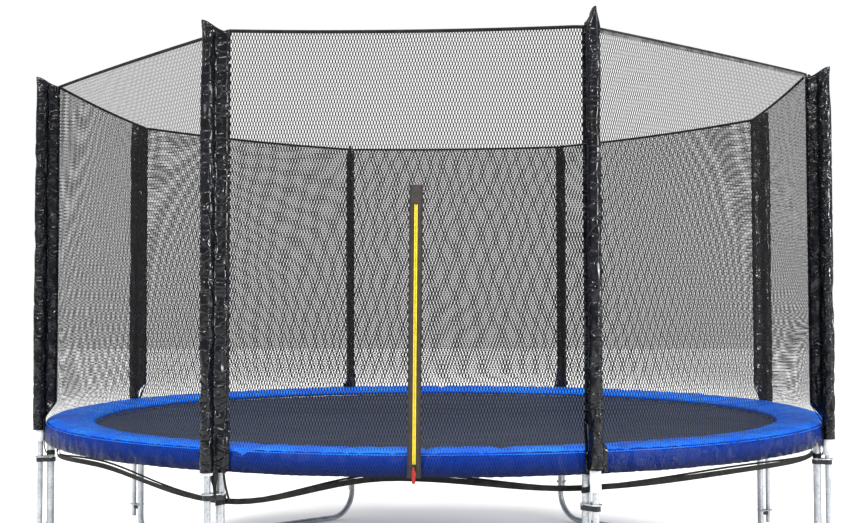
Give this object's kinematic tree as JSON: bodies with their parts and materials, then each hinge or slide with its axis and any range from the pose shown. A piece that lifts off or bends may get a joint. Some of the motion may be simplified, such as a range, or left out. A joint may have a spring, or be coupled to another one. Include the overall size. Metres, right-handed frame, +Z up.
{
  "type": "trampoline",
  "caption": "Round outdoor trampoline with blue padded rim, dark woven mat, galvanised legs, and a black mesh safety net on padded poles with a zipped door",
  "frame": {"origin": "on the ground under the centre of the mat", "axes": "+Z up, -Y toward the net's door, +X to the right of someone facing the door"},
  "size_m": [4.3198, 4.3352, 2.769],
  "materials": {
    "galvanised": "satin",
    "spring_steel": "satin",
    "black_plastic": "matte",
    "black_vinyl": "gloss",
    "net_black": "matte",
    "pad_blue": "gloss",
    "mat_grey": "matte",
    "webbing": "matte",
    "zip_band": "matte",
    "zip_yellow": "satin",
    "pull_red": "satin"
  },
  "bodies": {
    "frame": {"top_rail_1": "galvanised", "top_rail_2": "galvanised", "top_rail_3": "galvanised", "top_rail_4": "galvanised", "top_rail_5": "galvanised", "top_rail_6": "galvanised", "top_rail_7": "galvanised", "top_rail_8": "galvanised", "leg_base_1": "galvanised", "leg_base_2": "galvanised", "leg_base_3": "galvanised", "leg_base_4": "galvanised", "leg_post_right_back": "galvanised", "leg_post_back_right": "galvanised", "leg_post_back_left": "galvanised", "leg_post_left_back": "galvanised", "leg_post_left_front": "galvanised", "leg_post_front_left": "galvanised", "leg_post_front_right": "galvanised", "leg_post_right_front": "galvanised", "pole_right_back": "galvanised", "pole_back_right": "galvanised", "pole_back_left": "galvanised", "pole_left_back": "galvanised", "pole_left_front": "galvanised", "pole_front_left": "galvanised", "pole_front_right": "galvanised", "pole_right_front": "galvanised", "pole_clamp_right_back": "black_plastic", "pole_clamp_back_right": "black_plastic", "pole_clamp_back_left": "black_plastic", "pole_clamp_left_back": "black_plastic", "pole_clamp_left_front": "black_plastic", "pole_clamp_front_left": "black_plastic", "pole_clamp_front_right": "black_plastic", "pole_clamp_right_front": "black_plastic", "pole_sleeve_right_back": "black_vinyl", "pole_sleeve_back_right": "black_vinyl", "pole_sleeve_back_left": "black_vinyl", "pole_sleeve_left_back": "black_vinyl", "pole_sleeve_left_front": "black_vinyl", "pole_sleeve_front_left": "black_vinyl", "pole_sleeve_front_right": "black_vinyl", "pole_sleeve_right_front": "black_vinyl", "net_panel_1": "net_black", "net_panel_2": "net_black", "net_panel_3": "net_black", "net_panel_4": "net_black", "net_panel_5": "net_black", "net_panel_7": "net_black", "net_panel_8": "net_black", "net_door_panel": "net_black", "spring_set": "spring_steel", "frame_pad": "pad_blue", "zip_band": "zip_band", "zip_coil": "zip_yellow", "net_strap": "webbing"},
    "mat": {"jumping_mat": "mat_grey"},
    "zip_slider": {"zip_slider": "black_plastic"},
    "zip_pull": {"zip_pull": "pull_red"}
  },
  "joints": [
    {"name": "mat_bounce", "type": "slide", "parent": "frame", "child": "mat", "axis": [0, 0, 1], "range_m": [-0.3, 0], "stiffness_N_per_m": 4000, "springref_m": 0.03, "deforming": ["spring_set"]},
    {"name": "zip_travel", "type": "slide", "parent": "frame", "child": "zip_slider", "axis": [0, 0.1152, 0.9933], "range_m": [0, 1.05]},
    {"name": "pull_swing", "type": "hinge", "parent": "zip_slider", "child": "zip_pull", "pos_m": [0.07, -2.17189, 0.89496], "axis": [-1, 0, 0], "range_deg": [0, 150]}
  ]
}
